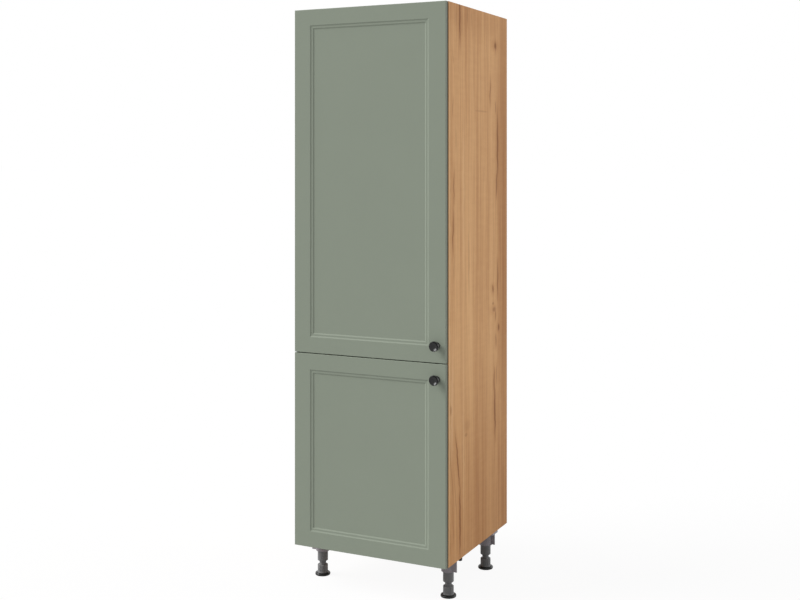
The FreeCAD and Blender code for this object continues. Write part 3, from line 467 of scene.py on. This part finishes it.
def piece_from(name, bm, slot, body, stands_for=None, sharp=SHARP_EDGE):
    """Turn worked geometry into a piece that rides on a body; edges over the sharp angle stay sharp."""
    bmesh.ops.recalc_face_normals(bm, faces=bm.faces)
    mesh = bpy.data.meshes.new(name)
    bm.to_mesh(mesh)
    bm.free()
    mesh.polygons.foreach_set("use_smooth", [True] * len(mesh.polygons))
    mesh.set_sharp_from_angle(angle=math.radians(sharp))
    piece = bpy.data.objects.new(name, mesh)
    bpy.context.collection.objects.link(piece)
    wear(piece, slot)
    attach(piece, body)
    if stands_for:
        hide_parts(stands_for)


def rounded(points):
    """Smooth curve through profile points, ends kept."""
    curve = []
    ends = [points[0], *points, points[-1]]
    for before, here, there, after in zip(ends, ends[1:], ends[2:], ends[3:]):
        for step in range(CURVE_STEPS):
            t = step / CURVE_STEPS
            curve.append(tuple(
                0.5 * (2 * b + (c - a) * t
                       + (2 * a - 5 * b + 4 * c - d) * t * t
                       + (3 * b - a - 3 * c + d) * t ** 3)
                for a, b, c, d in zip(before, here, there, after)))
    return curve + [points[-1]]


def turned(profile, place, sides, shape=None):
    """Lathe a profile of (radius, height) in mm about local Z; shape may vary a ring's radius by angle."""
    bm = bmesh.new()
    rings = []
    for radius, height in profile:
        ring = []
        for step in range(sides if radius > 0 else 1):
            angle = 2 * math.pi * step / sides
            reach = shape(radius, height, angle) if shape else radius
            x, y = reach * math.cos(angle), reach * math.sin(angle)
            ring.append(bm.verts.new((x * MM, y * MM, height * MM)))
        rings.append(ring)
    for low, high in zip(rings, rings[1:]):
        for step in range(sides):
            corners = [low[step % len(low)], low[(step + 1) % len(low)],
                       high[(step + 1) % len(high)], high[step % len(high)]]
            unique = list(dict.fromkeys(corners))
            if len(unique) > 2:
                bm.faces.new(unique)
    bm.transform(place)
    return bm


# Knobs: round foot, waist, flared head and a dished face inside a lip, in mm off the door
KNOB_SIDES = 96
KNOB_PROFILE = [(0, 0), (11.6, 0), (12, 0.4), (12, 2.2), (11.4, 2.9)] + rounded(
    [(10, 3.2), (7.8, 4.6), (7, 7.5), (7.2, 11.5), (9.4, 15.2), (14.2, 18.8), (17.2, 21.6), (18, 24.2),
     (17.8, 26.4), (17.1, 27.7), (16.4, 28), (15.6, 27.5), (14.5, 26.2), (13, 24.9), (10, 22.9), (6, 21.3),
     (3, 20.7), (0, 20.5)])
for door in DOORS:
    knob_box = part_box(f"knob_{door}")
    middle = middle_of(knob_box)
    seat = Matrix.Translation((middle.x, knob_box[1].y, middle.z)) @ TO_FRONT
    piece_from(f"turned_knob_{door}", turned(KNOB_PROFILE, seat, KNOB_SIDES),
               "knob_black", f"door_{door}", f"knob_{door}", KNOB_SHARP_EDGE)


# Feet: a round-edged pad, a fluted column with its thread, and a tapered tube, in mm off the floor
PAD_SIDES, COLUMN_SIDES, TUBE_SIDES = 72, 96, 72
FLUTES, FLUTE_HALF, FLUTE_EDGE, FLUTE_DEPTH = 8, 0.13, 0.05, 1.2
FLUTE_LOW, FLUTE_HIGH = 15.0, 38.0
THREAD_LOW, THREAD_HIGH, THREAD_PITCH, THREAD_DEPTH = 39.0, 74.0, 6.0, 0.8
THREAD_ROUNDNESS, ROWS_PER_MM = 0.7, 2
SPINDLE_RADIUS, SPINDLE_TOP = 12.4, 98
STEM_HOLE_RADIUS, STEM_HOLE_TOP, COLUMN_FOOT = 5.05, 17.3, 9.3
GRIP_RADIUS = 18.7
TUBE_BORE, TUBE_RADIUS, TUBE_LOW, TUBE_CAP = 12.8, 19, 51, 6
TUBE_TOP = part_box("foot_tube_front_left")[1].z / MM


def column_shape(radius, height, angle):
    """Flutes on the grip, with their half width and edge in radians, and a rounded thread."""
    if FLUTE_LOW <= height <= FLUTE_HIGH:
        pitch = 2 * math.pi / FLUTES
        off = abs((angle + pitch / 2) % pitch - pitch / 2)
        return radius - FLUTE_DEPTH * max(0.0, min(1.0, (FLUTE_HALF - off) / FLUTE_EDGE))
    if THREAD_LOW <= height <= THREAD_HIGH:
        turn = (height / THREAD_PITCH - angle / (2 * math.pi)) % 1.0
        return radius - THREAD_DEPTH * (0.5 - 0.5 * math.cos(2 * math.pi * turn)) ** THREAD_ROUNDNESS
    return radius


PAD_PROFILE = [
    (0, 0), (25.4, 0), (27, 0.6), (27.8, 2), (28, 4), (27.8, 6), (27, 7.8), (25.4, 9), (22.8, 8.9),
    (20.8, 8.6), (5, 8.6), (5, 17), (0, 17),
]
THREAD_ROWS = [(SPINDLE_RADIUS, THREAD_LOW + row / ROWS_PER_MM)
               for row in range(int((THREAD_HIGH - THREAD_LOW) * ROWS_PER_MM) + 1)]
COLUMN_PROFILE = [
    (0, STEM_HOLE_TOP), (STEM_HOLE_RADIUS, STEM_HOLE_TOP), (STEM_HOLE_RADIUS, COLUMN_FOOT),
    (20.4, COLUMN_FOOT), (20.6, 10.2), (20.2, 11.4), (19.1, 13.2), (GRIP_RADIUS, 14.9),
    (GRIP_RADIUS, FLUTE_LOW), (GRIP_RADIUS, 24), (GRIP_RADIUS, 36.8), (18.5, 37.5),
    (17.9, FLUTE_HIGH), (17.5, 38.3), (SPINDLE_RADIUS, 38.5),
    *THREAD_ROWS, (SPINDLE_RADIUS, 97), (11.6, SPINDLE_TOP), (0, SPINDLE_TOP),
]
TUBE_PROFILE = [
    (0, TUBE_TOP - TUBE_CAP), (TUBE_BORE, TUBE_TOP - TUBE_CAP), (TUBE_BORE, TUBE_LOW), (14.2, TUBE_LOW),
    (15.2, 51.3), (18.2, 53.4), (18.8, 54.1), (TUBE_RADIUS, 55.2), (TUBE_RADIUS, TUBE_TOP), (0, TUBE_TOP),
]
for foot in FEET:
    pad_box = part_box(f"foot_pad_{foot}")
    middle = middle_of(pad_box)
    axis = Matrix.Translation((middle.x, middle.y, pad_box[0].z))
    piece_from(f"rounded_pad_{foot}", turned(PAD_PROFILE, axis, PAD_SIDES),
               "pad_plastic", f"foot_pad_{foot}", f"foot_pad_{foot}")
    piece_from(f"threaded_column_{foot}", turned(COLUMN_PROFILE, axis, COLUMN_SIDES, column_shape),
               "tube_plastic", f"foot_screw_{foot}", f"foot_screw_{foot}")
    piece_from(f"tapered_tube_{foot}", turned(TUBE_PROFILE, axis, TUBE_SIDES),
               "tube_plastic", "carcass", f"foot_tube_{foot}")


# Glides: domed black plugs under the side panels beside the front feet, in mm below the panel
GLIDE_SIDES = 48
GLIDE_PROFILE = [(0, 0), (7, 0), (7.7, 0.7), (7.7, 8.4), (7.2, 10.6), (5.6, 12.2), (2.6, 12.9), (0, 13)]
GLIDE_BEHIND_FOOT = 13 * MM
for hand in HANDS:
    side_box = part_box(f"side_panel_{hand}")
    foot_middle = middle_of(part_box(f"foot_pad_front_{hand}"))
    spot = (middle_of(side_box).x, foot_middle.y + GLIDE_BEHIND_FOOT, side_box[0].z)
    piece_from(f"side_glide_{hand}",
               turned(GLIDE_PROFILE, Matrix.Translation(spot) @ TO_FLOOR, GLIDE_SIDES),
               "pad_plastic", "carcass")


# Small fasteners: round heads with a cross recess

# Shares of a head's radius that the recess takes, and of its height that the recess and the rim take
HEAD_SIDES = 24
SLOT_HALF_WIDTH, SLOT_REACH, SLOT_TAPER = 0.16, 0.62, 0.8
SLOT_DEPTH, SLOT_DEEPER_MM = 0.55, 0.25
RIM_HEIGHT, RIM_RADIUS = 0.6, 0.86


def add_cross_head(bm, spot, outward, radius, height):
    """One screw or cam head standing off a face, sizes in mm."""
    slot, arm = SLOT_HALF_WIDTH * radius, SLOT_REACH * radius
    depth = SLOT_DEPTH * height + SLOT_DEEPER_MM
    place = Matrix.Translation(spot) @ Vector(outward).to_track_quat("Z", "Y").to_matrix().to_4x4()

    def point(x, y, z):
        return bm.verts.new(place @ Vector((x * MM, y * MM, z * MM)))

    def circle(reach, z):
        angles = [2 * math.pi * step / HEAD_SIDES for step in range(HEAD_SIDES)]
        return [point(reach * math.cos(angle), reach * math.sin(angle), z) for angle in angles]

    outline = [(arm, -slot), (arm, slot), (slot, slot), (slot, arm), (-slot, arm), (-slot, slot),
               (-arm, slot), (-arm, -slot), (-slot, -slot), (-slot, -arm), (slot, -arm), (slot, -slot)]
    base = circle(radius, 0)
    rim = circle(radius, RIM_HEIGHT * height)
    crown = circle(RIM_RADIUS * radius, height)
    mouth = [point(x, y, height) for x, y in outline]
    bottom = [point(SLOT_TAPER * x, SLOT_TAPER * y, height - depth) for x, y in outline]
    for lower, upper in ((base, rim), (rim, crown), (mouth, bottom)):
        for step in range(len(lower)):
            after = (step + 1) % len(lower)
            bm.faces.new((lower[step], lower[after], upper[after], upper[step]))
    bm.faces.new(base)
    bm.faces.new(bottom)
    border = []
    for loop in (crown, mouth):
        for step in range(len(loop)):
            border.append(bm.edges.get((loop[step], loop[(step + 1) % len(loop)])))
    bmesh.ops.triangle_fill(bm, edges=border, use_beauty=True)


def heads(name, body, spots, size):
    """A set of equal heads as one piece; spots are (place, outward direction), size is radius and height."""
    bm = bmesh.new()
    for spot, outward in spots:
        add_cross_head(bm, spot, outward, *size)
    piece_from(name, bm, "zinc_steel", body)


def solids_of(node):
    """Boxes of a node's separate solids, bottom to top."""
    bm = bmesh.new()
    bm.from_mesh(frame["nodes"][node].data)
    bmesh.ops.remove_doubles(bm, verts=bm.verts, dist=SAME_PLACE)
    left, boxes = set(bm.verts), []
    while left:
        grown, edge = set(), [left.pop()]
        while edge:
            vert = edge.pop()
            grown.add(vert)
            for link in vert.link_edges:
                other = link.other_vert(vert)
                if other in left:
                    left.discard(other)
                    edge.append(other)
        places = [vert.co.copy() for vert in grown]
        boxes.append((Vector(map(min, *places)), Vector(map(max, *places))))
    bm.free()
    return sorted(boxes, key=lambda box: (box[0].z, box[0].x))


# Hinge and knob screws, screws of the wall brackets and cam fittings of the panels: each head's radius and
# height in mm, and where it sits
RIGHT, BACK, UP, DOWN = (1, 0, 0), (0, 1, 0), (0, 0, 1), (0, 0, -1)
BOTH_SIDES = (-1, 1)
PLATE_HEAD, ARM_HEAD, CUP_HEAD = (4.0, 1.6), (3.4, 1.4), (3.8, 1.2)
BOLT_HEAD, CAM_HEAD = (4.2, 1.8), (7.5, 0.4)
PLATE_SCREW_LINE, PLATE_SCREW_OFF, PLATE_WING = CARCASS_FRONT + 37 * MM, 16 * MM, 2.5 * MM
ARM_SCREW_LINES, ARM_ROOF = (CARCASS_FRONT + 43.5 * MM, CARCASS_FRONT + 63.5 * MM), 16.5 * MM
CUP_SCREW_OFF, CUP_FROM_DOOR_EDGE = 23 * MM, 26.5 * MM
BRACKET_SCREW_FROM_WALL, BRACKET_SHEET = 25 * MM, 2 * MM
CAM_FROM_SIDE, CAM_FROM_EDGE = 34 * MM, 60 * MM
for door in DOORS:
    door_low, door_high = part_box(f"door_{door}")
    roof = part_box("side_panel_left")[1].x + ARM_ROOF
    cup_line = door_low.x + CUP_FROM_DOOR_EDGE
    plate_spots, arm_spots, cup_spots = [], [], []
    for box in solids_of(f"hinge_plates_{door}"):
        wing, level = box[0].x + PLATE_WING, middle_of(box).z
        plate_spots += [(Vector((wing, PLATE_SCREW_LINE, level + side * PLATE_SCREW_OFF)), RIGHT)
                        for side in BOTH_SIDES]
    for box in solids_of(f"hinge_arms_{door}"):
        arm_spots += [(Vector((roof, line, middle_of(box).z)), RIGHT) for line in ARM_SCREW_LINES]
    for box in solids_of(f"hinge_cups_{door}"):
        rear, level = box[1].y, middle_of(box).z
        cup_spots += [(Vector((cup_line, rear, level + side * CUP_SCREW_OFF)), BACK)
                      for side in BOTH_SIDES]
    heads(f"plate_screws_{door}", "carcass", plate_spots, PLATE_HEAD)
    heads(f"arm_screws_{door}", "carcass", arm_spots, ARM_HEAD)
    heads(f"cup_screws_{door}", f"door_{door}", cup_spots, CUP_HEAD)
    middle = middle_of(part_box(f"knob_{door}"))
    heads(f"knob_screw_{door}", f"door_{door}",
          [(Vector((middle.x, door_high.y, middle.z)), BACK)], BOLT_HEAD)

bracket_spots = []
for low, high in solids_of("wall_brackets"):
    spot = Vector(((low.x + high.x) / 2, high.y - BRACKET_SCREW_FROM_WALL, high.z - BRACKET_SHEET))
    bracket_spots.append((spot, DOWN))
heads("bracket_screws", "carcass", bracket_spots, BOLT_HEAD)

cam_spots = []
front_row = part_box("middle_shelf")[0].y + CAM_FROM_EDGE
back_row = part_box("back_sheet_lower")[0].y - CAM_FROM_EDGE
for panel, outward in (("bottom_panel", DOWN), ("middle_shelf", DOWN), ("top_panel", UP)):
    low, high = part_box(panel)
    level = high.z if outward == UP else low.z
    cam_spots += [(Vector((side * (INNER_FACE - CAM_FROM_SIDE), row, level)), outward)
                  for side in BOTH_SIDES for row in (front_row, back_row)]
heads("cam_fittings", "carcass", cam_spots, CAM_HEAD)


# Finishes of the carried-over solids, with their arrises eased by so many mm

EASED = {"oak_board": 0.5, "oak_edge": 0.25, "socket_plastic": 0.7, "nickel_steel": 0.2, "zinc_steel": 0.3,
         "white_plastic": 0.2}
ARRIS_ANGLE, ARRIS_STEPS = 40, 2


def ease(node, width):
    """Join the solid's faces and break its sharp edges, width in mm."""
    weld = node.modifiers.new("joined", "WELD")
    weld.merge_threshold = SAME_PLACE
    bevel = node.modifiers.new("eased", "BEVEL")
    bevel.limit_method = "ANGLE"
    bevel.angle_limit = math.radians(ARRIS_ANGLE)
    bevel.width = width * MM
    bevel.segments = ARRIS_STEPS


for entry in frame["record"]["subparts"]:
    name, slot = entry["node"], entry["material_slot"]
    node = frame["nodes"][name]
    node.data.materials.clear()
    node.data.materials.append(SIDE_FINISHES.get(name, FINISHES[slot]))
    if slot in EASED:
        ease(node, EASED[slot])


# Stage: pale floor, soft light and the photograph's camera

WHITE = (1, 1, 1, 1)
FLOOR_SIZE, FLOOR_GRAIN = 400.0, 3.0
FLOOR_DARK, FLOOR_LIGHT = (0.44, 0.44, 0.44, 1), (0.47, 0.47, 0.47, 1)
FLOOR_GLOW, FLOOR_GLOW_SHARE = 1.06, 0.88
AMBIENT = 0.46
LAMP_HEIGHT = 5.0


def seen_directly(tree):
    """1 for rays from the eye, a reflection or a glass, else 0."""
    path = put(tree, "ShaderNodeLightPath").outputs
    first = calc(tree, "MAXIMUM", path["Is Camera Ray"], path["Is Glossy Ray"])
    return calc(tree, "MAXIMUM", first, path["Is Transmission Ray"])


def pale_floor():
    """White to the eye and in reflections, with the object's shadow kept on it."""
    material = bpy.data.materials.new("pale_floor")
    material.use_nodes = True
    tree = material.node_tree
    tree.nodes.clear()
    colour = tint(tree, speckle(tree, object_place(tree), FLOOR_GRAIN), FLOOR_DARK, FLOOR_LIGHT)
    lit = put(tree, "ShaderNodeBsdfDiffuse", {"Color": colour}).outputs[0]
    white = put(tree, "ShaderNodeEmission", {"Color": WHITE, "Strength": FLOOR_GLOW}).outputs[0]
    seen = calc(tree, "MULTIPLY", seen_directly(tree), FLOOR_GLOW_SHARE)
    mixed = put(tree, "ShaderNodeMixShader", {0: seen, 1: lit, 2: white}).outputs[0]
    put(tree, "ShaderNodeOutputMaterial", {"Surface": mixed})
    return material


bpy.ops.mesh.primitive_plane_add(size=FLOOR_SIZE)
floor = bpy.context.object
floor.name = "floor"
floor.data.materials.append(pale_floor())

world = bpy.data.worlds.new("studio")
bpy.context.scene.world = world
world.use_nodes = True
sky = world.node_tree
background = sky.nodes["Background"]
background.inputs["Color"].default_value = WHITE
brightness = calc(sky, "ADD", AMBIENT, calc(sky, "MULTIPLY", seen_directly(sky), 1.0 - AMBIENT))
sky.links.new(brightness, background.inputs["Strength"])


def daylight(name, towards, strength, softness):
    """Even light from one direction; softness is the angle of its disc in degrees."""
    lamp = bpy.data.lights.new(name, "SUN")
    lamp.energy = strength
    lamp.angle = math.radians(softness)
    holder = bpy.data.objects.new(name, lamp)
    holder.rotation_euler = Vector(towards).to_track_quat("-Z", "Y").to_euler()
    holder.location = (0, 0, LAMP_HEIGHT)
    bpy.context.collection.objects.link(holder)


daylight("window_light", towards=(0.72, 0.34, -0.60), strength=3.62, softness=42.0)
daylight("side_light", towards=(-0.8, -0.55, -0.25), strength=1.2, softness=40.0)

# Camera fitted to the photograph's straight edges, with the lens dropped as its framing needs
EYE, TURN_DEGREES, LENS_MM, DROP = (1.9041, -3.9197, 1.5203), 26.008, 52.788, -0.22893
SENSOR_HEIGHT = 27.0
FAR_CLIP = 500.0
lens = bpy.data.cameras.new("camera")
lens.sensor_fit = "VERTICAL"
lens.sensor_height = SENSOR_HEIGHT
lens.lens = LENS_MM
lens.shift_y = DROP
lens.clip_end = FAR_CLIP
camera = bpy.data.objects.new("camera", lens)
camera.location = EYE
camera.rotation_euler = (math.pi / 2, 0, math.radians(TURN_DEGREES))
bpy.context.collection.objects.link(camera)
bpy.context.scene.camera = camera
bpy.context.scene.view_settings.view_transform = "Standard"
